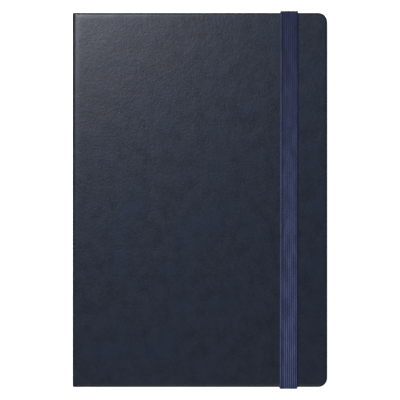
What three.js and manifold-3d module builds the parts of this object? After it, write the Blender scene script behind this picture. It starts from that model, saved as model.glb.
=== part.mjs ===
// A hardcover pilot's logbook with an elastic closure, built as a case-bound, thread-sewn book.
// Units are millimetres. The book lies on its back cover: the spine is at -X, the head at +Y and the
// front cover faces +Z. The origin is under the middle of the book, level with the elastic's underside.
// Inside the group, x runs from the spine's outer face, and z from the back cover's outer face.

import * as THREE from "three";
import { mergeVertices } from "three/addons/utils/BufferGeometryUtils.js";
import Module from "manifold-3d";

const wasm = await Module();
wasm.setup();

// Driving dimensions.
const COVER_WIDTH = 143; // spine's outer face to fore-edge
const COVER_HEIGHT = 210; // tail to head
const CORNER_RADIUS = 5.1; // the covers' two fore-edge corners
const SKIN = 0.4; // leatherette
const BOARD = 2.0; // greyboard inside each cover
const STIFFENER = 1.0; // card inside the spine
const TURN_IN = 12; // leatherette folded over onto the boards' inner faces
const SQUARE = 3.0; // how far the covers stand out past the pages
const ENDPAPER = 0.15; // thickness of the folded sheet that ties the pages to a board
const SECTION = 0.92; // one sewn section: four folded sheets, which make eight leaves
const SECTIONS_EACH_SIDE = 6; // in front of the middle opening, and behind it
const SECTION_GAP = 0.02;
const MIDDLE_GAP = 0.3; // running clearance between the two halves of the pages
const LAYER_GAP = 0.05; // between glued layers
const HINGE_GAP = 0.15; // from a fold line to the leatherette on each side of it
const FLEX_ZONE = 3.0; // bare leatherette between a board and the spine card
const PAGE_FOLD_X = 2.35; // where the sections' folds stand, from the spine's outer face
const PAGE_CORNER_RADIUS = 4.2;
const MULL = 0.2; // gauze lining glued over the folds
const MULL_END = 12; // how far it stays back from the pages' head and tail
const THREAD = 0.3;
const THREAD_SIDES = 8;
const THREAD_STATIONS = [-92, -55, -18, 18, 55, 92]; // sewing stations along the spine
const HEADBAND_BEAD = 0.75; // radius
const HEADBAND_TAPE = 0.2;
const HEADBAND_REACH = 9; // how far the tape runs down over the folds
const HEADBAND_MARGIN = 0.3; // from the bead's ends to the flyleaves
const HEADBAND_SIDES = 12;
const ELASTIC_WIDTH = 10;
const ELASTIC = 0.9;
const ELASTIC_X = 121.4; // centre of the band, from the spine
const ELASTIC_SLOT_Y = 88.5; // the two slots in the back cover
const ELASTIC_GLUED_END = 30; // hidden under the back endpaper
const ELASTIC_CLEARANCE = 0.15;
const ARC_STEPS = 8;
const FIT = 0.01; // slack between a board or card and the leatherette round it
const OVERSHOOT = 1; // how far a cutter runs past what it cuts
const WELD = 1e-4; // corners nearer than this are joined

// Levels counted from a cover's outer face inwards. They hold for both covers.
const BOARD_OUTSIDE = SKIN;
const BOARD_INSIDE = BOARD_OUTSIDE + BOARD;
const COVER_INSIDE = BOARD_INSIDE + SKIN;
const PASTEDOWN = COVER_INSIDE + LAYER_GAP;
const FLYLEAF = PASTEDOWN + ENDPAPER + LAYER_GAP;
const PAGES = FLYLEAF + ENDPAPER + LAYER_GAP;
const SECTION_PITCH = SECTION + SECTION_GAP;
const HALF_OF_PAGES = SECTIONS_EACH_SIDE * SECTION_PITCH - SECTION_GAP;
const BOOK_THICKNESS = 2 * (PAGES + HALF_OF_PAGES) + MIDDLE_GAP;

const HALF_HEIGHT = COVER_HEIGHT / 2;
const PAGE_HALF_HEIGHT = HALF_HEIGHT - SQUARE;
const PAGE_EDGE_X = COVER_WIDTH - SQUARE;

const COLOURS = {
  leatherette: { color: 0x262c3a, roughness: 0.5 },
  greyboard: { color: 0x8d8578, roughness: 0.95 },
  paper: { color: 0xf0eadb, roughness: 0.9 },
  endpaper: { color: 0xe9e3d3, roughness: 0.9 },
  elastic: { color: 0x2c3157, roughness: 0.8 },
  gauze: { color: 0xd9d3c3, roughness: 0.95 },
  thread: { color: 0xefece2, roughness: 0.8 },
  headband: { color: 0x2f3560, roughness: 0.8 },
};
const materials = Object.fromEntries(
  Object.entries(COLOURS).map(([name, look]) => [
    name,
    new THREE.MeshStandardMaterial({ name, metalness: 0, ...look }),
  ]),
);

// Solids.

function solid(geometry) {
  const bare = geometry.index ? geometry.toNonIndexed() : geometry.clone();
  bare.deleteAttribute("normal");
  bare.deleteAttribute("uv");
  const merged = mergeVertices(bare, WELD);
  return new wasm.Manifold(
    new wasm.Mesh({
      numProp: 3,
      vertProperties: new Float32Array(merged.attributes.position.array),
      triVerts: new Uint32Array(merged.index.array),
    }),
  );
}

function geometryOf(manifold) {
  const mesh = manifold.getMesh();
  const geometry = new THREE.BufferGeometry();
  geometry.setAttribute("position", new THREE.BufferAttribute(mesh.vertProperties, 3));
  geometry.setIndex(new THREE.BufferAttribute(mesh.triVerts, 1));
  geometry.computeVertexNormals();
  return geometry;
}

function extruded(shape, length) {
  const options = { depth: length, bevelEnabled: false, curveSegments: ARC_STEPS };
  return new THREE.ExtrudeGeometry(shape, options);
}

// A plan outline in x and y, standing between two levels.
function plate(shape, zA, zB) {
  const low = Math.min(zA, zB);
  return solid(extruded(shape, Math.abs(zB - zA)).translate(0, 0, low));
}

// A section in x and z, running from tail to head.
function alongY(shape, yA, yB) {
  return solid(extruded(shape, yB - yA).rotateX(Math.PI / 2).translate(0, yB, 0));
}

// A section in y and z, running away from the spine.
function alongX(shape, xA, xB) {
  const turned = extruded(shape, xB - xA).rotateZ(Math.PI / 2).rotateY(Math.PI / 2);
  return solid(turned.translate(xA, 0, 0));
}

function polygon(points) {
  return new THREE.Shape(points.map(([a, b]) => new THREE.Vector2(a, b)));
}

function rectangle(xA, yA, xB, yB) {
  return polygon([
    [xA, yA],
    [xB, yA],
    [xB, yB],
    [xA, yB],
  ]);
}

// A rectangle whose two far corners are round, as the covers' and pages' fore-edge corners are.
function roundedPanel(xA, xB, halfHeight, radius) {
  const shape = new THREE.Shape();
  shape.moveTo(xA, -halfHeight);
  shape.lineTo(xB - radius, -halfHeight);
  shape.absarc(xB - radius, -halfHeight + radius, radius, -Math.PI / 2, 0);
  shape.absarc(xB - radius, halfHeight - radius, radius, 0, Math.PI / 2);
  shape.lineTo(xA, halfHeight);
  return shape;
}

// The covers. Each function below takes level, which turns a depth from the cover's outer face into z.

const fromBack = (depth) => depth;
const fromFront = (depth) => BOOK_THICKNESS - depth;

function slotCutter(low, high) {
  const cutters = [-1, 1].map((end) => {
    const y = end * ELASTIC_SLOT_Y;
    const halfX = ELASTIC_WIDTH / 2 + ELASTIC_CLEARANCE;
    const halfY = ELASTIC / 2 + ELASTIC_CLEARANCE;
    const outline = rectangle(ELASTIC_X - halfX, y - halfY, ELASTIC_X + halfX, y + halfY);
    return plate(outline, low, high);
  });
  return cutters[0].add(cutters[1]);
}

// Shallow recesses in the back board, where the elastic's glued ends lie flush.
function recessCutter() {
  const depth = ELASTIC - SKIN + LAYER_GAP;
  const halfX = ELASTIC_WIDTH / 2 + ELASTIC_CLEARANCE;
  const near = ELASTIC_SLOT_Y;
  const far = ELASTIC_SLOT_Y - ELASTIC_GLUED_END - ELASTIC_CLEARANCE;
  const cutters = [-1, 1].map((end) => {
    const [yA, yB] = [end * far, end * near].sort((a, b) => a - b);
    const outline = rectangle(ELASTIC_X - halfX, yA, ELASTIC_X + halfX, yB);
    return plate(outline, BOARD_INSIDE - depth, BOARD_INSIDE + OVERSHOOT);
  });
  return cutters[0].add(cutters[1]);
}

function coverBoard(level) {
  const inset = SKIN + LAYER_GAP;
  const outline = roundedPanel(
    FLEX_ZONE,
    COVER_WIDTH - inset,
    HALF_HEIGHT - inset,
    CORNER_RADIUS - inset,
  );
  const board = plate(outline, level(BOARD_OUTSIDE + FIT), level(BOARD_INSIDE - FIT));
  if (level !== fromBack) return board;
  const slots = slotCutter(-OVERSHOOT, BOARD_INSIDE + OVERSHOOT);
  return board.subtract(slots).subtract(recessCutter());
}

// Leatherette over a cover: its outer sheet, its wrapped edges and the turn-ins on the inner face.
function coverSkin(level) {
  const outer = roundedPanel(HINGE_GAP, COVER_WIDTH, HALF_HEIGHT, CORNER_RADIUS);
  const cavity = roundedPanel(
    FLEX_ZONE - OVERSHOOT,
    COVER_WIDTH - SKIN,
    HALF_HEIGHT - SKIN,
    CORNER_RADIUS - SKIN,
  );
  const window = rectangle(
    -OVERSHOOT,
    -HALF_HEIGHT + TURN_IN,
    COVER_WIDTH - TURN_IN,
    HALF_HEIGHT - TURN_IN,
  );
  const past = HALF_HEIGHT + OVERSHOOT;
  const besideSpine = rectangle(-OVERSHOOT, -past, FLEX_ZONE, past);
  const mitre = polygon([
    [-OVERSHOOT, level(0)],
    [HINGE_GAP, level(0)],
    [HINGE_GAP + SKIN, level(SKIN)],
    [-OVERSHOOT, level(SKIN)],
  ]);
  const inside = level(COVER_INSIDE + OVERSHOOT);
  const skin = plate(outer, level(0), level(COVER_INSIDE))
    .subtract(plate(cavity, level(BOARD_OUTSIDE), level(BOARD_INSIDE)))
    .subtract(plate(window, level(BOARD_OUTSIDE), inside))
    .subtract(plate(besideSpine, level(SKIN), inside))
    .subtract(alongY(mitre, -past, past));
  if (level !== fromBack) return skin;
  return skin.subtract(slotCutter(-OVERSHOOT, SKIN + OVERSHOOT));
}

// One endpaper: the pastedown on the board, the fold at the spine and the flyleaf on the pages.
function endpaper(level) {
  const plan = roundedPanel(PAGE_FOLD_X, PAGE_EDGE_X, PAGE_HALF_HEIGHT, PAGE_CORNER_RADIUS);
  const fold = PAGE_FOLD_X + ENDPAPER;
  const profile = polygon([
    [0, level(PASTEDOWN)],
    [COVER_WIDTH, level(PASTEDOWN)],
    [COVER_WIDTH, level(PASTEDOWN + ENDPAPER)],
    [fold, level(PASTEDOWN + ENDPAPER)],
    [fold, level(FLYLEAF)],
    [COVER_WIDTH, level(FLYLEAF)],
    [COVER_WIDTH, level(FLYLEAF + ENDPAPER)],
    [0, level(FLYLEAF + ENDPAPER)],
  ]);
  const folded = alongY(profile, -HALF_HEIGHT, HALF_HEIGHT);
  return plate(plan, level(COVER_INSIDE), level(PAGES)).intersect(folded);
}

// A sewn section, round at its fold and square at its fore-edge, lying on z = 0.
function section() {
  const plan = roundedPanel(PAGE_FOLD_X, PAGE_EDGE_X, PAGE_HALF_HEIGHT, PAGE_CORNER_RADIUS);
  const radius = SECTION / 2;
  const profile = new THREE.Shape();
  profile.moveTo(COVER_WIDTH, 0);
  profile.lineTo(COVER_WIDTH, SECTION);
  profile.lineTo(PAGE_FOLD_X + radius, SECTION);
  profile.absarc(PAGE_FOLD_X + radius, radius, radius, Math.PI / 2, (3 * Math.PI) / 2);
  const round = alongY(profile, -HALF_HEIGHT, HALF_HEIGHT);
  return plate(plan, 0, SECTION).intersect(round);
}

// The spine.

const SPINE_LOW = FLEX_ZONE;
const SPINE_HIGH = BOOK_THICKNESS - FLEX_ZONE;

function spineStiffener() {
  const inset = SKIN + LAYER_GAP;
  const outside = SKIN + FIT;
  const profile = rectangle(outside, SPINE_LOW, SKIN + STIFFENER - FIT, SPINE_HIGH);
  return alongY(profile, -HALF_HEIGHT + inset, HALF_HEIGHT - inset);
}

// Leatherette over the spine card, turned in at the head and the tail.
function spineSkin() {
  const sheet = polygon([
    [0, HINGE_GAP],
    [SKIN, HINGE_GAP + SKIN],
    [SKIN, BOOK_THICKNESS - HINGE_GAP - SKIN],
    [0, BOOK_THICKNESS - HINGE_GAP],
  ]);
  const inside = STIFFENER + SKIN;
  const wrap = rectangle(0, SPINE_LOW, inside + SKIN / 2, SPINE_HIGH);
  const cavity = rectangle(SKIN, SPINE_LOW - OVERSHOOT, inside, SPINE_HIGH + OVERSHOOT);
  const clear = rectangle(
    SKIN,
    SPINE_LOW - OVERSHOOT,
    COVER_WIDTH,
    SPINE_HIGH + OVERSHOOT,
  );
  const edge = HALF_HEIGHT - SKIN;
  const turnInEnd = HALF_HEIGHT - TURN_IN;
  return alongY(wrap, -HALF_HEIGHT, HALF_HEIGHT)
    .subtract(alongY(cavity, -edge, edge))
    .subtract(alongY(clear, -turnInEnd, turnInEnd))
    .add(alongY(sheet, -HALF_HEIGHT, HALF_HEIGHT));
}

const MULL_X = PAGE_FOLD_X - LAYER_GAP - THREAD - LAYER_GAP - MULL;

function mull() {
  const reach = PAGE_HALF_HEIGHT - MULL_END;
  const profile = rectangle(MULL_X, PAGES, MULL_X + MULL, BOOK_THICKNESS - PAGES);
  return alongY(profile, -reach, reach);
}

function sewingThread(y) {
  const length = BOOK_THICKNESS - 2 * (PAGES + SECTION / 2);
  const radius = THREAD / 2;
  const upright = new THREE.CylinderGeometry(radius, radius, length, THREAD_SIDES);
  const bar = upright.rotateX(Math.PI / 2);
  const x = PAGE_FOLD_X - LAYER_GAP - radius;
  return solid(bar.translate(x, y, BOOK_THICKNESS / 2));
}

// A band at the head or the tail of the folds: a round bead standing on the pages, and its tape.
function headband(end) {
  const bead = HEADBAND_BEAD;
  const tapeX = PAGE_FOLD_X - LAYER_GAP - HEADBAND_TAPE;
  const beadY = end * (PAGE_HALF_HEIGHT + bead + LAYER_GAP);
  const tapeEnd = end * (PAGE_HALF_HEIGHT - HEADBAND_REACH);
  const [yA, yB] = [tapeEnd, beadY].sort((a, b) => a - b);
  const low = PAGES + HEADBAND_MARGIN;
  const high = BOOK_THICKNESS - low;
  const upright = new THREE.CylinderGeometry(bead, bead, high - low, HEADBAND_SIDES);
  const round = upright.rotateX(Math.PI / 2).translate(tapeX + bead, beadY, (low + high) / 2);
  return plate(rectangle(tapeX, yA, tapeX + HEADBAND_TAPE, yB), low, high).add(solid(round));
}

// The elastic. Its three lengths are one strip on the real book.

const BAND_NEAR = ELASTIC_X - ELASTIC_WIDTH / 2;
const BAND_FAR = ELASTIC_X + ELASTIC_WIDTH / 2;
const SIDE_IN = HALF_HEIGHT + ELASTIC_CLEARANCE;
const SIDE_OUT = SIDE_IN + ELASTIC;
const END_RISE = 0.2; // how far the back lengths reach up the book's edge
const BEND = 0.9;

// Across the front cover and down the head and the tail of the book.
function elasticBand() {
  const under = BOOK_THICKNESS + LAYER_GAP;
  const over = BOOK_THICKNESS + ELASTIC;
  const foot = END_RISE + LAYER_GAP;
  const shape = new THREE.Shape();
  shape.moveTo(-SIDE_OUT, foot);
  shape.lineTo(-SIDE_IN, foot);
  shape.lineTo(-SIDE_IN, under);
  shape.lineTo(SIDE_IN, under);
  shape.lineTo(SIDE_IN, foot);
  shape.lineTo(SIDE_OUT, foot);
  shape.absarc(SIDE_OUT - BEND, over - BEND, BEND, 0, Math.PI / 2);
  shape.absarc(-SIDE_OUT + BEND, over - BEND, BEND, Math.PI / 2, Math.PI);
  return alongX(shape, BAND_NEAR, BAND_FAR);
}

// From the book's edge along the back cover, through its slot, to the glued end inside.
function elasticEnd(end) {
  const slotNear = ELASTIC_SLOT_Y - ELASTIC / 2;
  const slotFar = ELASTIC_SLOT_Y + ELASTIC / 2;
  const glued = ELASTIC_SLOT_Y - ELASTIC_GLUED_END;
  const inner = COVER_INSIDE - ELASTIC;
  const points = [
    [glued, inner],
    [slotNear, inner],
    [slotNear, -ELASTIC],
    [SIDE_OUT - BEND, -ELASTIC],
  ];
  for (let step = 1; step <= ARC_STEPS; step += 1) {
    const angle = (Math.PI / 2) * (step / ARC_STEPS);
    points.push([
      SIDE_OUT - BEND + BEND * Math.sin(angle),
      BEND - ELASTIC - BEND * Math.cos(angle),
    ]);
  }
  points.push(
    [SIDE_OUT, END_RISE],
    [SIDE_IN, END_RISE],
    [SIDE_IN, -LAYER_GAP],
    [slotFar, -LAYER_GAP],
    [slotFar, COVER_INSIDE],
    [glued, COVER_INSIDE],
  );
  const outline = end > 0 ? points : points.map(([y, z]) => [-y, z]).reverse();
  return alongX(polygon(outline), BAND_NEAR, BAND_FAR);
}

// The assembly.

const book = new THREE.Group();
book.position.set(-COVER_WIDTH / 2, 0, ELASTIC);

function place(name, manifold, material, z = 0) {
  const mesh = new THREE.Mesh(geometryOf(manifold), materials[material]);
  mesh.name = name;
  mesh.position.z = z;
  book.add(mesh);
}

for (const [side, level] of [
  ["back", fromBack],
  ["front", fromFront],
]) {
  place(`${side}_board`, coverBoard(level), "greyboard");
  place(`${side}_cover_skin`, coverSkin(level), "leatherette");
  place(`${side}_endpaper`, endpaper(level), "endpaper");
}

// Sections are counted from the front cover, as a reader meets them.
for (let number = 1; number <= 2 * SECTIONS_EACH_SIDE; number += 1) {
  const inFront = number <= SECTIONS_EACH_SIDE;
  const fromCover = inFront ? number : 2 * SECTIONS_EACH_SIDE + 1 - number;
  const depth = PAGES + (fromCover - 1) * SECTION_PITCH;
  const z = inFront ? BOOK_THICKNESS - depth - SECTION : depth;
  place(`section_${String(number).padStart(2, "0")}`, section(), "paper", z);
}

place("spine_stiffener", spineStiffener(), "greyboard");
place("spine_skin", spineSkin(), "leatherette");
place("spine_mull", mull(), "gauze");
THREAD_STATIONS.forEach((y, i) => place(`sewing_thread_${i + 1}`, sewingThread(y), "thread"));
place("headband_head", headband(1), "headband");
place("headband_tail", headband(-1), "headband");

place("elastic_band", elasticBand(), "elastic");
place("elastic_end_head", elasticEnd(1), "elastic");
place("elastic_end_tail", elasticEnd(-1), "elastic");

export default book;
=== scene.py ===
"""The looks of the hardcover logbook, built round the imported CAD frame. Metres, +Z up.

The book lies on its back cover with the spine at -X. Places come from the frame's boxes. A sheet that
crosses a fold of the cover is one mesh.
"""

import math
import random
from collections import namedtuple

import bmesh
import bpy
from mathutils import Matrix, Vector, noise


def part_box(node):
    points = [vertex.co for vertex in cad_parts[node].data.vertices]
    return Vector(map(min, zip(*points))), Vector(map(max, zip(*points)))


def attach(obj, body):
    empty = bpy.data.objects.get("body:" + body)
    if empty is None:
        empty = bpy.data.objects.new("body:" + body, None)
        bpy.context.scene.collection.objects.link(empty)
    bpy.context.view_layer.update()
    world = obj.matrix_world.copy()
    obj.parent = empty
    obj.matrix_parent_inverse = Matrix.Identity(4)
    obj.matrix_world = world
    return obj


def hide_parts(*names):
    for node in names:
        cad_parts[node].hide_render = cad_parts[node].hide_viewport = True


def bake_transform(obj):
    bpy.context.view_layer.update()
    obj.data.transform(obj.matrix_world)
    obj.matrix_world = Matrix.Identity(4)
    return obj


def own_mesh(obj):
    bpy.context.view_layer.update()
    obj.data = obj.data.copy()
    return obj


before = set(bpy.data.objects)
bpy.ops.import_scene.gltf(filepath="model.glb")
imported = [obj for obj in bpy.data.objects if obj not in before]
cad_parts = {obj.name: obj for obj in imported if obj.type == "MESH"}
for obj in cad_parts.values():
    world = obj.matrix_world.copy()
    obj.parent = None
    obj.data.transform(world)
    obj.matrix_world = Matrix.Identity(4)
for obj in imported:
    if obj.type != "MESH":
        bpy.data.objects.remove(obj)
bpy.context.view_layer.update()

MM = 0.001
QUARTER = math.pi / 2

# Places read from the frame.
FRONT_LOW, FRONT_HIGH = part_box("front_cover_skin")
BACK_LOW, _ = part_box("back_cover_skin")
_, SPINE_CARD_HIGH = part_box("spine_stiffener")
BOARD_LOW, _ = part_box("front_board")
ENDPAPER_LOW, ENDPAPER_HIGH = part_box("front_endpaper")
SPINE_LOW, SPINE_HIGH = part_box("spine_skin")
BAND_LOW, BAND_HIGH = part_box("elastic_band")
BAND_END_LOW, BAND_END_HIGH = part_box("elastic_end_head")

SPINE_X = SPINE_LOW.x
FORE_X = FRONT_HIGH.x
HALF_HEIGHT = FRONT_HIGH.y
TOP_Z = FRONT_HIGH.z
UNDER_Z = BACK_LOW.z
MIDDLE_Z = (TOP_Z + UNDER_Z) / 2
COVER_DEPTH = FRONT_HIGH.z - FRONT_LOW.z
SPINE_DEPTH = SPINE_HIGH.x - SPINE_LOW.x
FOLD_X = ENDPAPER_LOW.x
PAGE_X = ENDPAPER_HIGH.x
PAGE_HALF_HEIGHT = ENDPAPER_HIGH.y
SECTION_COUNT = sum(1 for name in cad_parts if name.startswith("section_"))

ARC_STEPS = 7  # round the covers' corners, the pages' corners and the spine's edges


# ---------------------------------------------------------------- mesh helpers


def mesh_object(name, vertices, faces, corner_uvs):
    """A smooth mesh object with a UV map in metres, given one UV per face corner."""
    mesh = bpy.data.meshes.new(name)
    mesh.from_pydata([tuple(v) for v in vertices], [], faces)
    layer = mesh.uv_layers.new(name="UVMap")
    flat = [value for face in corner_uvs for uv in face for value in uv]
    layer.data.foreach_set("uv", flat)
    mesh.polygons.foreach_set("use_smooth", [True] * len(mesh.polygons))
    mesh.update()
    piece = bpy.data.objects.new(name, mesh)
    bpy.context.scene.collection.objects.link(piece)
    return piece


class Patch:
    """Collects vertices with one UV each, and the faces between them."""

    def __init__(self):
        self.vertices = []
        self.uvs = []
        self.faces = []

    def point(self, position, uv):
        self.vertices.append(Vector(position))
        self.uvs.append(uv)
        return len(self.vertices) - 1

    def strip(self, row_a, row_b, closed=False):
        """Quads between two rows of vertex numbers."""
        count = len(row_a)
        for k in range(count if closed else count - 1):
            after = (k + 1) % count
            self.faces.append((row_a[k], row_a[after], row_b[after], row_b[k]))

    def tube(self, rings):
        """Closed strips from ring to ring, with a cap at each end."""
        for ring, after in zip(rings, rings[1:]):
            self.strip(ring, after, closed=True)
        self.faces.append(tuple(reversed(rings[0])))
        self.faces.append(tuple(rings[-1]))

    def build(self, name, flip=False):
        faces = [tuple(reversed(f)) for f in self.faces] if flip else self.faces
        corner_uvs = [[self.uvs[v] for v in f] for f in faces]
        return mesh_object(name, self.vertices, faces, corner_uvs)


def solidify(piece, thickness, offset):
    modifier = piece.modifiers.new("thickness", "SOLIDIFY")
    modifier.thickness = thickness
    modifier.offset = offset
    modifier.use_quality_normals = True
    return piece


def finish_piece(piece, material, replaced):
    piece.data.materials.append(material)
    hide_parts(*replaced)


def steps(start, end, count):
    """count + 1 evenly spaced values from start to end."""
    return [start + (end - start) * k / count for k in range(count + 1)]


def smoothstep(low, high, value):
    share = min(max((value - low) / (high - low), 0.0), 1.0)
    return share * share * (3 - 2 * share)


# ---------------------------------------------------------------- leatherette

LEATHER = 0.35 * MM
COVER_CORNER = 5.1 * MM
EDGE_ROUND = 1.5 * MM  # how wide the leatherette's turn over a board's edge is
EDGE_ROUND_DEPTH = 1.2 * MM
INNER_EDGE_ROUND = 0.45 * MM
SPINE_ROUND = 1.9 * MM  # where it turns from the cover to the spine
TURN_IN = 5.0 * MM  # what is built of the folded-over margin; the pastedown hides the rest
GRID = 2.2 * MM
SPINE_STEPS = 3
SEAM = 0.04 * MM  # a narrow column, so that the joint along the middle of the spine doesn't show
EDGE_STEPS = 7
FLEX_DEPTH = 0.85 * MM  # leatherette folded on itself beside the boards
BOARD_STEP = 0.12 * MM  # a step in depth happens within this width
PAST_SPINE_ROUND = 0.5 * MM
PAST_BOARD_EDGE = (0.9, 1.8, 2.9)  # closer columns over the slope, in mm
RELIEF = 0.05 * MM
RELIEF_SIZE = 9.0 * MM
FINER_RELIEF = 2.3  # how many times finer the second layer of unevenness is
JOINT_DROP = 0.3 * MM  # the cover slopes down towards the spine, past the board's edge
JOINT_WIDTH = 4.2 * MM

Column = namedtuple("Column", "x z normal_x normal_z half_height turn")


def joint_slope(x):
    return -JOINT_DROP * (1 - smoothstep(0.0, JOINT_WIDTH, x - SPINE_X))


def relief(x, y, seed):
    """Soft unevenness of the leatherette over its board."""
    place = Vector((x / RELIEF_SIZE, y / RELIEF_SIZE, seed))
    return RELIEF * (noise.noise(place) + 0.5 * noise.noise(place * FINER_RELIEF))


def depth_under(x, z):
    """How thick the cover or the spine is under a point of the leatherette's outer face."""
    if x >= BOARD_LOW.x - BOARD_STEP / 2:
        return COVER_DEPTH
    if z <= SPINE_CARD_HIGH.z + BOARD_STEP / 2:
        return SPINE_DEPTH
    return FLEX_DEPTH


def sheet_columns():
    """Columns of the sheet's outer face, from mid-spine to the fore-edge.

    A column's turn is the direction of the cover's outline there, from 0 along the head to a quarter turn
    at the fore-edge.
    """
    columns = []
    straight = HALF_HEIGHT - EDGE_ROUND
    spine_zs = [MIDDLE_Z] + steps(MIDDLE_Z + SEAM, SPINE_CARD_HIGH.z, SPINE_STEPS)
    spine_zs.append(SPINE_CARD_HIGH.z + BOARD_STEP)
    for z in spine_zs:
        columns.append(Column(SPINE_X, z, -1.0, 0.0, straight, 0.0))
    for angle in steps(0.0, QUARTER, ARC_STEPS):
        x = SPINE_X + SPINE_ROUND * (1 - math.cos(angle))
        z = TOP_Z - SPINE_ROUND * (1 - math.sin(angle))
        columns.append(Column(x, z, -math.cos(angle), math.sin(angle), straight, 0.0))
    turn_radius = COVER_CORNER - EDGE_ROUND
    corner_x = FORE_X - COVER_CORNER
    beside = [columns[-1].x + PAST_SPINE_ROUND, BOARD_LOW.x - BOARD_STEP, BOARD_LOW.x + BOARD_STEP]
    beside += [BOARD_LOW.x + step * MM for step in PAST_BOARD_EDGE]
    count = round((corner_x - beside[-1]) / GRID)
    for x in beside + steps(beside[-1], corner_x, count)[1:]:
        columns.append(Column(x, TOP_Z, 0.0, 1.0, straight, 0.0))
    for angle in steps(0.0, QUARTER, ARC_STEPS)[1:]:
        x = corner_x + turn_radius * math.sin(angle)
        half_height = HALF_HEIGHT - COVER_CORNER + turn_radius * math.cos(angle)
        columns.append(Column(x, TOP_Z, 0.0, 1.0, half_height, angle))
    return columns


def edge_profile(depth):
    """Outward and downward distances from the rim of the outer face, round the edge and back inside."""
    round_depth = min(EDGE_ROUND_DEPTH, 0.5 * depth)
    inner_round = min(INNER_EDGE_ROUND, 0.3 * depth)
    points = []
    for angle in steps(0.0, QUARTER, EDGE_STEPS)[1:]:
        points.append((EDGE_ROUND * math.sin(angle), round_depth * (1 - math.cos(angle))))
    for angle in steps(0.0, QUARTER, EDGE_STEPS):
        out = EDGE_ROUND - inner_round * (1 - math.cos(angle))
        points.append((out, depth - inner_round * (1 - math.sin(angle))))
    points.append((EDGE_ROUND - TURN_IN / 2, depth))
    points.append((EDGE_ROUND - TURN_IN, depth))
    return points


def add_outer_face(patch, columns, row_count, seed):
    """The sheet's outer face. Returns the vertex numbers along each column, from the tail to the head."""
    along = 0.0
    grid = []
    for i, column in enumerate(columns):
        if i:
            along += math.hypot(column.x - columns[i - 1].x, column.z - columns[i - 1].z)
        rows = []
        for share in steps(-1.0, 1.0, row_count):
            y = share * column.half_height
            lift = column.normal_z * (relief(column.x, y, seed) + joint_slope(column.x))
            x = column.x + column.normal_x * lift
            z = column.z + column.normal_z * lift
            rows.append(patch.point((x, y, z), (along, y)))
        grid.append(rows)
    for near, far in zip(grid, grid[1:]):
        for j in range(row_count):
            patch.faces.append((near[j], far[j], far[j + 1], near[j + 1]))
    return grid


def add_turned_edges(patch, columns, row_count, grid):
    """Rings from the outer face's rim over the head, fore-edge and tail, and back under the cover."""
    last = len(columns) - 1
    rim = [(i, row_count, 1) for i in range(last + 1)]
    rim += [(last, j, 0) for j in range(row_count - 1, 0, -1)]
    rim += [(i, 0, -1) for i in range(last, -1, -1)]
    rings = [[grid[i][j] for i, j, _ in rim]]
    directions = []
    for i, _, side in rim:
        angle = columns[i].turn if side else QUARTER
        directions.append((math.sin(angle), side * math.cos(angle)))
    profiles = [edge_profile(depth_under(columns[i].x, columns[i].z)) for i, _, _ in rim]
    for m in range(len(profiles[0])):
        ring = []
        for (i, j, _), (out_x, out_y), profile in zip(rim, directions, profiles):
            out, down = profile[m]
            column = columns[i]
            start = patch.vertices[grid[i][j]]
            shift_x = out_x * out - column.normal_x * down
            place = start + Vector((shift_x, out_y * out, -column.normal_z * down))
            u, v = patch.uvs[grid[i][j]]
            reach = out + down
            ring.append(patch.point(place, (u + out_x * reach, v + out_y * reach)))
        rings.append(ring)
    for ring, after in zip(rings, rings[1:]):
        patch.strip(ring, after)


def leather_sheet(name, seed, mirrored):
    """One cover's leatherette and its half of the spine, turned over every edge."""
    columns = sheet_columns()
    row_count = round(2 * HALF_HEIGHT / GRID)
    patch = Patch()
    grid = add_outer_face(patch, columns, row_count, seed)
    add_turned_edges(patch, columns, row_count, grid)
    if mirrored:
        for vertex in patch.vertices:
            vertex.z = 2 * MIDDLE_Z - vertex.z
    piece = patch.build(name, flip=mirrored)
    return solidify(piece, LEATHER, -1.0)


def make_leatherette(material):
    for cover, seed, mirrored in (("front", 1.7, False), ("back", 8.3, True)):
        piece = leather_sheet(f"{cover}_leatherette", seed, mirrored)
        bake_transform(piece)
        replaced = [f"{cover}_cover_skin"] + (["spine_skin"] if cover == "front" else [])
        finish_piece(piece, material, replaced)


# ---------------------------------------------------------------- pages and endpapers

LEAF = 0.095 * MM
ENDPAPER_LEAF = 1.3 * LEAF
PAGE_CORNER = 4.2 * MM
SHEETS = 4  # folded sheets in one section
UNEVEN_EDGE = 0.12 * MM  # how far the sheets' fore-edges vary
PAGE_FOLD_STEPS = 6
OPENING_BEND = 13.0 * MM  # width beside the fold over which the leaves bend when the book opens
OPENING_STEPS = 14
FLAT_STEPS = 6
PASTEDOWN_COLUMNS = 3.0 * MM  # width of the pastedown's closer columns
PASTEDOWN_BEND = 2.4 * MM
LEAF_ROWS = (-1.0, -0.5, 0.0, 0.5, 1.0)  # shares of the half height, from the tail to the head


def page_columns(fold_x, fore_x, bend):
    """x and half height of a leaf's columns from its fold to its fore-edge, closest where it bends."""
    columns = [(x, PAGE_HALF_HEIGHT) for x in steps(fold_x, fold_x + bend, OPENING_STEPS)]
    corner_x = fore_x - PAGE_CORNER
    columns += [(x, PAGE_HALF_HEIGHT) for x in steps(fold_x + bend, corner_x, FLAT_STEPS)[1:]]
    for angle in steps(0.0, QUARTER, ARC_STEPS)[1:]:
        x = corner_x + PAGE_CORNER * math.sin(angle)
        columns.append((x, PAGE_HALF_HEIGHT - PAGE_CORNER * (1 - math.cos(angle))))
    return columns


def add_leaf(patch, path):
    """A sheet of paper along a path of x, z and half height. UVs are the leaf's own plan."""
    rows = []
    for x, z, half in path:
        row = [patch.point((x, share * half, z), (x - FOLD_X, share * half)) for share in LEAF_ROWS]
        rows.append(row)
    for row_a, row_b in zip(rows, rows[1:]):
        patch.strip(row_a, row_b)


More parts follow.
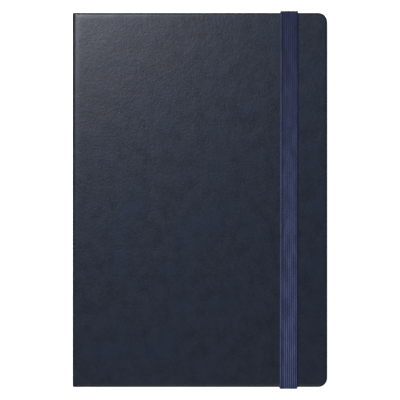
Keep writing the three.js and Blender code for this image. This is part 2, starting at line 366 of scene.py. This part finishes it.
def add_folded_sheet(patch, low_z, high_z, fold_x, jitter):
    """One sheet of paper folded once: its lower leaf, its fold and its upper leaf."""
    radius = (high_z - low_z) / 2
    centre_x = fold_x + radius
    columns = page_columns(centre_x, PAGE_X + jitter, OPENING_BEND)
    path = [(x, low_z, half) for x, half in reversed(columns)]
    for angle in steps(0.0, math.pi, PAGE_FOLD_STEPS)[1:-1]:
        x = centre_x - radius * math.sin(angle)
        path.append((x, low_z + radius * (1 - math.cos(angle)), PAGE_HALF_HEIGHT))
    path += [(x, high_z, half) for x, half in columns]
    add_leaf(patch, path)


def make_sections(material):
    """Every section is four nested sheets, which make eight leaves."""
    shuffle = random.Random(21)
    for number in range(1, SECTION_COUNT + 1):
        node = f"section_{number:02d}"
        low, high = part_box(node)
        pitch = (high.z - low.z) / (2 * SHEETS)
        patch = Patch()
        for k in range(SHEETS):
            inset = (k + 0.5) * pitch
            jitter = shuffle.uniform(-UNEVEN_EDGE, 0.0)
            add_folded_sheet(patch, low.z + inset, high.z - inset, low.x + inset, jitter)
        piece = solidify(patch.build(f"{node}_leaves"), LEAF, 0.0)
        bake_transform(piece)
        finish_piece(piece, material, [node])


def make_endpapers(material):
    """Each endpaper is built as two separate leaves: a pastedown glued to the board, and a flyleaf against
    the pages.
    """
    for cover in ("front", "back"):
        low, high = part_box(f"{cover}_endpaper")
        inner, outer = (low.z, high.z) if cover == "front" else (high.z, low.z)
        toward_board = 1 if cover == "front" else -1
        for name, z, close_width, bend_width in (
            ("flyleaf", inner + toward_board * LEAF, OPENING_BEND, OPENING_BEND),
            ("pastedown", outer - toward_board * LEAF, PASTEDOWN_COLUMNS, PASTEDOWN_BEND),
        ):
            patch = Patch()
            add_leaf(patch, [(x, z, half) for x, half in page_columns(FOLD_X, PAGE_X, close_width)])
            piece = solidify(patch.build(f"{cover}_{name}"), ENDPAPER_LEAF, 0.0)
            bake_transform(piece)
            finish_piece(piece, material, [f"{cover}_endpaper"])


# ---------------------------------------------------------------- elastic

BAND_THICK = BAND_HIGH.z - TOP_Z
BAND_X = (BAND_LOW.x + BAND_HIGH.x) / 2
BAND_HALF_WIDTH = (BAND_HIGH.x - BAND_LOW.x) / 2
BAND_LEAN = 0.2 * MM  # the head end lies this much nearer the fore-edge, and the tail end nearer the spine
BAND_WANDER = 0.04 * MM  # how far its edges stray from straight
WANDER_RATE = 60  # per metre
GLUED_LENGTH = 30 * MM
BAND_BEND = 0.7 * MM
BAND_BEND_STEPS = 5
BAND_STEP = 0.6 * MM
BAND_SLACK = 0.02 * MM  # what the ribs' crests stay below the band's full thickness
RIBS = 9
RIB_SAMPLES = 6
RIB_HEIGHT = 0.13 * MM
INNER_STEPS = 12
INNER_RIB_SHARE = 0.3
SELVEDGE = 0.7 * MM
SELVEDGE_ROUND = 0.8
WEAVE_PITCH = 1.2 * MM
WEAVE_HEIGHT = 0.035 * MM


def rounded_path(corners):
    """(y, z) points along a polyline whose corners are turned into arcs."""
    path = [Vector(corners[0])]
    for before, corner, after in zip(corners, corners[1:], corners[2:]):
        corner = Vector(corner)
        arrive = (corner - Vector(before)).normalized()
        leave = (Vector(after) - corner).normalized()
        start, end = corner - arrive * BAND_BEND, corner + leave * BAND_BEND
        centre = start + leave * BAND_BEND
        path += points_towards(path[-1], start)
        for angle in steps(0.0, QUARTER, BAND_BEND_STEPS)[1:]:
            sideways = arrive * BAND_BEND * math.sin(angle)
            path.append(centre - leave * BAND_BEND * math.cos(angle) + sideways)
        path[-1] = end
    return path + points_towards(path[-1], Vector(corners[-1]))


def points_towards(start, end):
    """Evenly spaced points from one end of a straight stretch to the other, without the first."""
    count = max(1, round((end - start).length / BAND_STEP))
    return [start.lerp(end, share) for share in steps(0, 1, count)[1:]]


def elastic_path():
    """The middle of the strip, from its glued end at the head to the one at the tail."""
    half = BAND_THICK / 2
    side_y = BAND_HIGH.y - half
    front_z = BAND_HIGH.z - half
    behind_z = BAND_END_LOW.z + half
    inside_z = BAND_END_HIGH.z - half
    glued_y = BAND_END_LOW.y
    slot_y = glued_y + GLUED_LENGTH
    at_head = [(glued_y, inside_z), (slot_y, inside_z), (slot_y, behind_z), (side_y, behind_z)]
    corners = at_head + [(side_y, front_z), (-side_y, front_z)]
    corners += [(-y, z) for y, z in reversed(at_head)]
    return rounded_path(corners)


def band_section(travel):
    """Points of the strip's cross-section: across its width, and out from its middle."""
    half = BAND_THICK / 2 - BAND_SLACK
    outer = []
    for share in steps(0.0, 1.0, RIBS * RIB_SAMPLES):
        across = (2 * share - 1) * BAND_HALF_WIDTH
        rib = min(math.floor(share * RIBS), RIBS - 1)
        crown = abs(math.sin(math.pi * RIBS * share))
        float_phase = travel / WEAVE_PITCH + 0.5 * (rib % 2)
        weave = WEAVE_HEIGHT * math.cos(2 * math.pi * float_phase) * crown
        edge = min(1.0, (BAND_HALF_WIDTH - abs(across)) / SELVEDGE)
        round_off = SELVEDGE_ROUND * half * (1 - math.sqrt(1 - (1 - edge) ** 2))
        outer.append((across, half - RIB_HEIGHT * (1 - crown) + weave - round_off))
    inner_out = -half + RIB_HEIGHT * INNER_RIB_SHARE
    inner = [(share * BAND_HALF_WIDTH, inner_out) for share in steps(1.0, -1.0, INNER_STEPS)]
    return outer + inner


def make_elastic(material):
    """The whole elastic is one strip."""
    path = elastic_path()
    patch = Patch()
    loops = []
    travel = 0.0
    for i, place in enumerate(path):
        if i:
            travel += (place - path[i - 1]).length
        direction = (path[min(i + 1, len(path) - 1)] - path[max(i - 1, 0)]).normalized()
        out_y, out_z = direction.y, -direction.x
        middle = BAND_X + BAND_LEAN * place.x / HALF_HEIGHT
        middle += BAND_WANDER * noise.noise(Vector((travel * WANDER_RATE, 0.5, 0)))
        loop = []
        for across, out in band_section(travel):
            at = (middle + across, place.x + out_y * out, place.y + out_z * out)
            loop.append(patch.point(at, (across, travel)))
        loops.append(loop)
    patch.tube(loops)
    piece = patch.build("elastic_strip", flip=True)
    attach(piece, "back_cover")
    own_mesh(piece)
    finish_piece(piece, material, ["elastic_band", "elastic_end_head", "elastic_end_tail"])


# ---------------------------------------------------------------- head and tail bands

WRAPS = 16
WRAP_SAMPLES = 4
WRAP_DEPTH = 0.14  # of the bead's radius
BEAD_SIDES = 14
BEAD_END = 0.25  # of the bead's radius, where it closes
TAPE = 0.14 * MM
TAPE_ROWS = 10
TAPE_COLUMNS = 14
TAPE_RELIEF = 0.03 * MM
TAPE_RELIEF_RATE = 400  # per metre


def add_bead(patch, x, y, low_z, high_z, radius):
    """A bead of wrapped thread that closes at both ends."""
    rings = []
    for share in steps(0.0, 1.0, WRAPS * WRAP_SAMPLES):
        wrap = 1 - WRAP_DEPTH + WRAP_DEPTH * abs(math.sin(math.pi * WRAPS * share))
        close = math.sqrt(max(0.0, 1 - (2 * abs(share - 0.5)) ** 10))
        size = radius * wrap * max(close, BEAD_END)
        z = low_z + (high_z - low_z) * share
        ring = []
        for k in range(BEAD_SIDES):
            angle = 2 * math.pi * k / BEAD_SIDES
            at = (x + size * math.cos(angle), y + size * math.sin(angle), z)
            ring.append(patch.point(at, (angle * radius, z)))
        rings.append(ring)
    patch.tube(rings)


def add_tape(patch, x, start_y, end_y, low_z, high_z):
    """A thin closed sheet with its back at x, from start_y to end_y."""
    columns = []
    for y in steps(start_y, end_y, TAPE_ROWS):
        row = []
        for z in steps(low_z, high_z, TAPE_COLUMNS):
            lift = TAPE_RELIEF * noise.noise(Vector((y * TAPE_RELIEF_RATE, z * TAPE_RELIEF_RATE, 3.0)))
            row.append((x + lift, y, z))
        columns.append(row)
    front = [[patch.point((at_x + TAPE, y, z), (y, z)) for at_x, y, z in row] for row in columns]
    behind = [[patch.point(at, at[1:]) for at in row] for row in columns]
    first_new = len(patch.faces)
    for near, far in zip(front, front[1:]):
        patch.strip(near, far)
    for near, far in zip(behind, behind[1:]):
        patch.strip(far, near)
    patch.strip(behind[0], front[0])
    patch.strip(front[-1], behind[-1])
    patch.strip([row[0] for row in front], [row[0] for row in behind])
    patch.strip([row[-1] for row in behind], [row[-1] for row in front])
    if end_y < start_y:
        patch.faces[first_new:] = [tuple(reversed(f)) for f in patch.faces[first_new:]]


def make_headbands(material):
    """A bead of wrapped thread at each end of the folds, on a tape that is glued down over them."""
    for end, sign in (("head", 1), ("tail", -1)):
        low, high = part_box(f"headband_{end}")
        radius = (high.x - low.x) / 2
        bead_y = (high.y - radius) if sign > 0 else (low.y + radius)
        tape_end = low.y if sign > 0 else high.y
        patch = Patch()
        add_bead(patch, low.x + radius, bead_y, low.z, high.z, radius)
        add_tape(patch, low.x, tape_end, bead_y, low.z, high.z)
        piece = patch.build(f"headband_{end}_wrapped")
        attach(piece, "spine")
        finish_piece(piece, material, [f"headband_{end}"])


# ---------------------------------------------------------------- materials


class Nodes:
    """Short calls for building one material's node tree."""

    def __init__(self, name):
        self.material = bpy.data.materials.new(name)
        self.material.use_nodes = True
        self.tree = self.material.node_tree
        self.shader = self.tree.nodes["Principled BSDF"]

    def add(self, kind, **settings):
        node = self.tree.nodes.new(kind)
        for name, value in settings.items():
            setattr(node, name, value)
        return node

    def put(self, node, socket, value):
        """Links an output, or sets a constant."""
        target = node.inputs[socket]
        if isinstance(value, bpy.types.NodeSocket):
            self.tree.links.new(value, target)
        else:
            target.default_value = value

    def coordinates(self, kind="UV"):
        return self.add("ShaderNodeTexCoord").outputs[kind]

    def separate(self, vector):
        """The three parts of a vector."""
        node = self.add("ShaderNodeSeparateXYZ")
        self.put(node, 0, vector)
        return node.outputs

    def stretched(self, vector, scale):
        node = self.add("ShaderNodeMapping")
        self.put(node, "Vector", vector)
        node.inputs["Scale"].default_value = scale
        return node.outputs["Vector"]

    def noise(self, vector, size, detail=2.0, roughness=0.5):
        """Noise whose features are about this many metres across."""
        node = self.add("ShaderNodeTexNoise")
        self.put(node, "Vector", vector)
        self.put(node, "Scale", 1 / size)
        self.put(node, "Detail", detail)
        self.put(node, "Roughness", roughness)
        return node.outputs["Fac"]

    def cells(self, vector, size, feature="F1"):
        node = self.add("ShaderNodeTexVoronoi", feature=feature)
        self.put(node, "Vector", vector)
        self.put(node, "Scale", 1 / size)
        return node.outputs["Distance"]

    def math(self, operation, a, b=0.0, c=0.0):
        node = self.add("ShaderNodeMath", operation=operation)
        for socket, value in enumerate((a, b, c)):
            self.put(node, socket, value)
        return node.outputs[0]

    def ranged(self, value, low, high, to_low, to_high):
        node = self.add("ShaderNodeMapRange")
        for socket, number in enumerate((value, low, high, to_low, to_high)):
            self.put(node, socket, number)
        return node.outputs[0]

    def mix(self, share, a, b):
        """Mixes two colours."""
        node = self.add("ShaderNodeMix", data_type="RGBA")
        self.put(node, 0, share)
        for socket, colour in ((6, a), (7, b)):
            linked = isinstance(colour, bpy.types.NodeSocket)
            self.put(node, socket, colour if linked else (*colour, 1.0))
        return node.outputs[2]

    def bump(self, height, distance, strength, normal=None):
        node = self.add("ShaderNodeBump")
        self.put(node, "Height", height)
        self.put(node, "Distance", distance)
        self.put(node, "Strength", strength)
        if normal is not None:
            self.put(node, "Normal", normal)
        return node.outputs["Normal"]

    def finish(self, colour, roughness, normal, **constants):
        self.put(self.shader, "Base Color", colour)
        self.put(self.shader, "Roughness", roughness)
        self.put(self.shader, "Normal", normal)
        for name, value in constants.items():
            self.shader.inputs[name.replace("_", " ")].default_value = value
        return self.material


NAVY_DARK = (0.0092, 0.0143, 0.0315)
NAVY = (0.0182, 0.0270, 0.0525)
NAVY_BLUE = (0.0145, 0.0235, 0.0540)
BROAD_SIZE = 26 * MM
MOTTLE_SIZE = 6.5 * MM
PEBBLE_SIZE = 1.1 * MM
GRAIN_SIZE = 1.5 * MM
CREASE_SPACING = 9 * MM
CREASED_AREA = 13 * MM  # creases come in areas about this far across
SHAPE_BUMP = 0.3 * MM
FINE_BUMP = 0.1 * MM
LEATHER_FINISH = {"Specular_IOR_Level": 0.34, "Coat_Weight": 0.3, "Coat_Roughness": 0.25}


def leatherette():
    """Smooth coated leatherette: soft mottling, a fine pebble and a few short creases."""
    n = Nodes("navy leatherette")
    plan = n.coordinates()
    warp = n.stretched(plan, (1.0, 0.8, 1.0))
    broad = n.noise(warp, BROAD_SIZE, 3.0, 0.55)
    mottle = n.noise(warp, MOTTLE_SIZE, 4.0, 0.6)
    pebble = n.cells(plan, PEBBLE_SIZE)
    grain = n.noise(plan, GRAIN_SIZE, 3.0, 0.6)
    crease = n.ranged(n.cells(warp, CREASE_SPACING, "DISTANCE_TO_EDGE"), 0.0, 0.035, 1.0, 0.0)
    crease_here = n.ranged(n.noise(plan, CREASED_AREA, 1.0), 0.55, 0.72, 0.0, 1.0)
    creases = n.math("MULTIPLY", crease, crease_here)
    surface = n.math("ADD", mottle, grain)
    colour = n.mix(n.ranged(surface, 0.75, 1.25, 0.0, 1.0), NAVY_DARK, NAVY)
    colour = n.mix(n.ranged(broad, 0.45, 0.7, 0.0, 0.85), colour, NAVY_BLUE)
    height = n.math("MULTIPLY_ADD", mottle, 1.0, n.math("MULTIPLY", creases, -0.12))
    shape = n.bump(height, SHAPE_BUMP, 0.6)
    fine = n.math("MULTIPLY_ADD", pebble, 0.5, grain)
    normal = n.bump(fine, FINE_BUMP, 0.85, shape)
    rough = n.ranged(surface, 0.75, 1.25, 0.38, 0.46)
    return n.finish(colour, rough, normal, **LEATHER_FINISH)


THREAD_DARK = (0.007, 0.009, 0.030)
THREAD_LIGHT = (0.052, 0.066, 0.172)
THREAD_PALE = (0.160, 0.195, 0.415)
# painted highlight: the selvedge on the spine's side, lighter as if lit from that side
SELVEDGE_PAINTED_HIGHLIGHT = (0.095, 0.115, 0.190)
GAP_INSET = 1.35 * MM  # painted shade of a groove beside the selvedge on the spine's side
GAP_WIDTH = 0.6 * MM
PALER_FROM_TO = (0.09, -0.07)  # the crests grow paler from the head to the tail
UNEVEN_SIZE = 3.0 * MM
THREAD_FIBRE = 0.22 * MM
WEAVE_BUMP = 0.08 * MM


def woven_elastic():
    """Ribs of navy thread, with short floats that step from rib to rib. A painted highlight lightens the
    selvedge on the spine's side; painted shade darkens a line beside it and the selvedge on the fore-edge
    side.
    """
    n = Nodes("navy woven elastic")
    plan = n.coordinates()
    from_middle, travel, _ = n.separate(plan)
    _, place_y, _ = n.separate(n.coordinates("Object"))
    across = n.math("MULTIPLY_ADD", from_middle, RIBS / (2 * BAND_HALF_WIDTH), RIBS / 2)
    crown = n.math("ABSOLUTE", n.math("SINE", n.math("MULTIPLY", across, math.pi)))
    parity = n.math("MODULO", n.math("FLOOR", across), 2.0)
    along = n.math("MULTIPLY_ADD", parity, 0.5, n.math("MULTIPLY", travel, 1 / WEAVE_PITCH))
    floats = n.math("COSINE", n.math("MULTIPLY", along, 2 * math.pi))
    uneven = n.noise(n.stretched(plan, (1.0, 0.25, 1.0)), UNEVEN_SIZE, 2.0)
    fibre = n.noise(n.stretched(plan, (1.0, 0.2, 1.0)), THREAD_FIBRE, 2.0)
    crest = n.math("POWER", crown, 2.0)
    light = n.math("MULTIPLY", crest, n.ranged(floats, -1.0, 1.0, 0.35, 1.05))
    light = n.math("MULTIPLY", light, n.ranged(uneven, 0.35, 0.65, 0.55, 1.25))
    light = n.math("MULTIPLY_ADD", fibre, 0.2, n.math("MULTIPLY", light, 0.85))
    # painted shade: a dark line along the groove beside the spine-side selvedge
    from_gap = n.math("ABSOLUTE", n.math("ADD", from_middle, BAND_HALF_WIDTH - GAP_INSET))
    light = n.math("MULTIPLY", light, n.ranged(from_gap, 0.0, GAP_WIDTH, 0.2, 1.0))
    paler = n.ranged(place_y, *PALER_FROM_TO, 0.0, 1.0)
    crest_colour = n.mix(paler, THREAD_LIGHT, THREAD_PALE)
    colour = n.mix(light, THREAD_DARK, crest_colour)
    # painted highlight along the selvedge on the spine's side
    painted_highlight_side = n.ranged(from_middle, SELVEDGE - BAND_HALF_WIDTH, -BAND_HALF_WIDTH, 0.0, 0.5)
    colour = n.mix(painted_highlight_side, colour, SELVEDGE_PAINTED_HIGHLIGHT)
    # painted shade: the selvedge on the fore-edge side darkened, as in the strap's own shade
    painted_shade_side = n.ranged(from_middle, BAND_HALF_WIDTH - SELVEDGE, BAND_HALF_WIDTH, 0.0, 0.9)
    colour = n.mix(painted_shade_side, colour, THREAD_DARK)
    normal = n.bump(n.math("MULTIPLY_ADD", fibre, 0.4, light), WEAVE_BUMP, 0.8)
    return n.finish(colour, 0.78, normal, Specular_IOR_Level=0.25)


PAPER = (0.80, 0.745, 0.635)
PAPER_SHADE = (0.73, 0.675, 0.565)
PAPER_FIBRE = 0.8 * MM
PAPER_CLOUD = 18 * MM
PAPER_BUMP = 0.02 * MM
RULE = (0.17, 0.21, 0.30)
RULE_INK = 0.8
RULE_WIDTH = 0.22 * MM
RULE_STRONG = 0.5 * MM
ROW_PITCH = 8.0 * MM
TABLE_LEFT = 14 * MM
TABLE_RIGHT = 131 * MM
TABLE_HALF_HEIGHT = 92 * MM
HEADING_DEPTH = 20 * MM
COLUMN_WIDTHS = (17, 15, 12, 12, 10, 10, 10, 9, 9, 13)  # in mm


def line_mask(n, coordinate, place, width):
    away = n.math("ABSOLUTE", n.math("SUBTRACT", coordinate, place))
    return n.math("LESS_THAN", away, width / 2)


def between(n, coordinate, low, high):
    above = n.math("GREATER_THAN", coordinate, low)
    return n.math("MULTIPLY", above, n.math("LESS_THAN", coordinate, high))


def page_rules(n, x, y):
    """A blank table without lettering: a heading row, entry rows and unequal columns."""
    head = TABLE_HALF_HEIGHT - HEADING_DEPTH
    shifted = n.math("ADD", n.math("SUBTRACT", y, head), ROW_PITCH / 2)
    within = n.math("SUBTRACT", n.math("FLOORED_MODULO", shifted, ROW_PITCH), ROW_PITCH / 2)
    nearest = n.math("ABSOLUTE", within)
    rows = n.math("MULTIPLY", n.math("LESS_THAN", nearest, RULE_WIDTH / 2), n.math("LESS_THAN", y, head))
    lines = n.math("MAXIMUM", rows, line_mask(n, y, head, RULE_STRONG))
    for edge in (-TABLE_HALF_HEIGHT, TABLE_HALF_HEIGHT):
        lines = n.math("MAXIMUM", lines, line_mask(n, y, edge, RULE_STRONG))
    for edge in (TABLE_LEFT, TABLE_RIGHT):
        lines = n.math("MAXIMUM", lines, line_mask(n, x, edge, RULE_STRONG))
    place = TABLE_LEFT
    for width in COLUMN_WIDTHS[:-1]:
        place += width * MM
        lines = n.math("MAXIMUM", lines, line_mask(n, x, place, RULE_WIDTH))
    margin = RULE_STRONG / 2
    in_width = between(n, x, TABLE_LEFT - margin, TABLE_RIGHT + margin)
    in_height = between(n, y, -TABLE_HALF_HEIGHT - margin, TABLE_HALF_HEIGHT + margin)
    return n.math("MULTIPLY", lines, n.math("MULTIPLY", in_width, in_height))


def paper(name, ruled):
    n = Nodes(name)
    plan = n.coordinates()
    fibres = n.noise(n.stretched(plan, (1.0, 0.4, 1.0)), PAPER_FIBRE, 4.0, 0.65)
    cloud = n.noise(plan, PAPER_CLOUD, 2.0)
    colour = n.mix(n.ranged(n.math("ADD", fibres, cloud), 0.75, 1.25, 0.0, 1.0), PAPER_SHADE, PAPER)
    if ruled:
        x, y, _ = n.separate(plan)
        colour = n.mix(n.math("MULTIPLY", page_rules(n, x, y), RULE_INK), colour, RULE)
    normal = n.bump(fibres, PAPER_BUMP, 0.5)
    return n.finish(colour, n.ranged(cloud, 0.3, 0.7, 0.82, 0.92), normal, Specular_IOR_Level=0.25)


def fibrous(name, light, dark, size, stretch, bump):
    """Plain fibre materials: greyboard, gauze and thread."""
    n = Nodes(name)
    place = n.stretched(n.coordinates("Object"), stretch)
    fibres = n.noise(place, size, 4.0, 0.65)
    colour = n.mix(n.ranged(fibres, 0.3, 0.7, 0.0, 1.0), dark, light)
    rough = n.ranged(fibres, 0.3, 0.7, 0.84, 0.94)
    return n.finish(colour, rough, n.bump(fibres, bump, 0.8))


STRIPE_PAIR = 1.37 * MM  # one navy stripe and one ivory stripe
BAND_NAVY = ((0.02, 0.024, 0.06), (0.05, 0.06, 0.13))
BAND_IVORY = ((0.55, 0.50, 0.40), (0.72, 0.68, 0.58))
BAND_FIBRE = 0.3 * MM
BAND_BUMP = 0.05 * MM


def headband_cloth():
    """Wrapped thread in two colours, in bands across the folds."""
    n = Nodes("headband thread")
    place = n.coordinates("Object")
    _, _, z = n.separate(place)
    stripe = n.math("SINE", n.math("MULTIPLY", z, 2 * math.pi / STRIPE_PAIR))
    fibre = n.noise(place, BAND_FIBRE, 3.0)
    colour = n.mix(n.math("GREATER_THAN", stripe, 0.0), n.mix(fibre, *BAND_NAVY), n.mix(fibre, *BAND_IVORY))
    return n.finish(colour, 0.75, n.bump(fibre, BAND_BUMP, 0.8), Sheen_Weight=0.1)


FLOOR_PALE = ((0.93, 0.93, 0.93), (0.95, 0.95, 0.95))
FLOOR_GLOW = 0.95


def pale_floor():
    n = Nodes("pale floor")
    soft = n.noise(n.coordinates("Object"), 0.4, 2.0)
    colour = n.mix(soft, *FLOOR_PALE)
    n.shader.inputs["Emission Color"].default_value = (1.0, 1.0, 1.0, 1.0)
    normal = n.bump(soft, 0.1 * MM, 0.1)
    return n.finish(colour, 0.9, normal, Specular_IOR_Level=0.1, Emission_Strength=FLOOR_GLOW)


# ---------------------------------------------------------------- camera, lights and floor

LENS = 200.0
SENSOR = 36.0
FRAME_WIDTH = 0.2243  # width of the view at the front cover's level
VIEW_CENTRE = (0.00005, -0.00004)
LIGHTS = (  # name, place, size, power
    ("key", (-0.13, 0.22, 0.37), 0.15, 1.05),
    ("key_spine", (-0.22, 0.13, 0.37), 0.15, 0.2),
    ("fill", (0.05, -0.42, 0.55), 0.3, 0.41),
)
WORLD_STRENGTH = 0.14
FLOOR_SIZE = 4.0
FLOOR_CELLS = 16
FLOOR_LIFT = 0.15


def make_camera():
    data = bpy.data.cameras.new("camera")
    data.lens = LENS
    data.sensor_width = SENSOR
    data.clip_start = 0.01
    data.clip_end = 20
    camera = bpy.data.objects.new("camera", data)
    bpy.context.scene.collection.objects.link(camera)
    height = FRAME_WIDTH * LENS / SENSOR
    camera.location = (*VIEW_CENTRE, TOP_Z + height)
    bpy.context.scene.camera = camera


def area_light(name, place, size, power):
    """A square soft box aimed at the middle of the book, out of the camera's sight."""
    data = bpy.data.lights.new(name, "AREA")
    data.size = size
    data.energy = power
    light = bpy.data.objects.new(name, data)
    light.location = place
    light.rotation_euler = (-Vector(place)).to_track_quat("-Z", "Y").to_euler()
    light.visible_camera = False
    bpy.context.scene.collection.objects.link(light)


def make_lights():
    """Two near soft boxes beyond the head of the spine, a weak high fill beyond the tail, and a dim sky."""
    for light in LIGHTS:
        area_light(*light)
    world = bpy.data.worlds.new("studio")
    world.use_nodes = True
    background = world.node_tree.nodes["Background"]
    background.inputs["Color"].default_value = (1.0, 1.0, 1.0, 1.0)
    background.inputs["Strength"].default_value = WORLD_STRENGTH
    bpy.context.scene.world = world
    bpy.context.scene.view_settings.view_transform = "Standard"


def make_floor():
    """A wide floor that lifts slowly towards its rim."""
    bm = bmesh.new()
    bmesh.ops.create_grid(bm, x_segments=FLOOR_CELLS, y_segments=FLOOR_CELLS, size=FLOOR_SIZE / 2)
    for vertex in bm.verts:
        away = max(0.0, vertex.co.xy.length - FLOOR_SIZE / 4)
        vertex.co.z = FLOOR_LIFT * away * away
    mesh = bpy.data.meshes.new("floor")
    bm.to_mesh(mesh)
    bm.free()
    mesh.polygons.foreach_set("use_smooth", [True] * len(mesh.polygons))
    floor = bpy.data.objects.new("floor", mesh)
    bpy.context.scene.collection.objects.link(floor)
    mesh.materials.append(pale_floor())
    floor.visible_glossy = False


# ---------------------------------------------------------------- the book

# Light colour, dark colour, fibre size, stretch and bump.
GREYBOARD = ((0.34, 0.30, 0.245), (0.20, 0.175, 0.14), 0.9 * MM, (1, 1, 4), 0.06 * MM)
GAUZE = ((0.74, 0.70, 0.60), (0.42, 0.39, 0.32), 0.7 * MM, (1, 1, 3), 0.1 * MM)
LINEN_THREAD = ((0.85, 0.82, 0.74), (0.60, 0.57, 0.49), 0.2 * MM, (1, 1, 0.4), 0.05 * MM)


def dress_frame_nodes():
    """Better materials on the CAD nodes that stay."""
    greyboard = fibrous("greyboard", *GREYBOARD)
    gauze = fibrous("gauze", *GAUZE)
    thread = fibrous("linen thread", *LINEN_THREAD)
    for name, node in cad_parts.items():
        if name.endswith("_board") or name == "spine_stiffener":
            node.material_slots[0].material = greyboard
        elif name == "spine_mull":
            node.material_slots[0].material = gauze
        elif name.startswith("sewing_thread"):
            node.material_slots[0].material = thread


make_camera()
make_lights()
make_floor()
make_leatherette(leatherette())
make_sections(paper("ruled paper", True))
make_endpapers(paper("endpaper", False))
make_headbands(headband_cloth())
make_elastic(woven_elastic())
dress_frame_nodes()
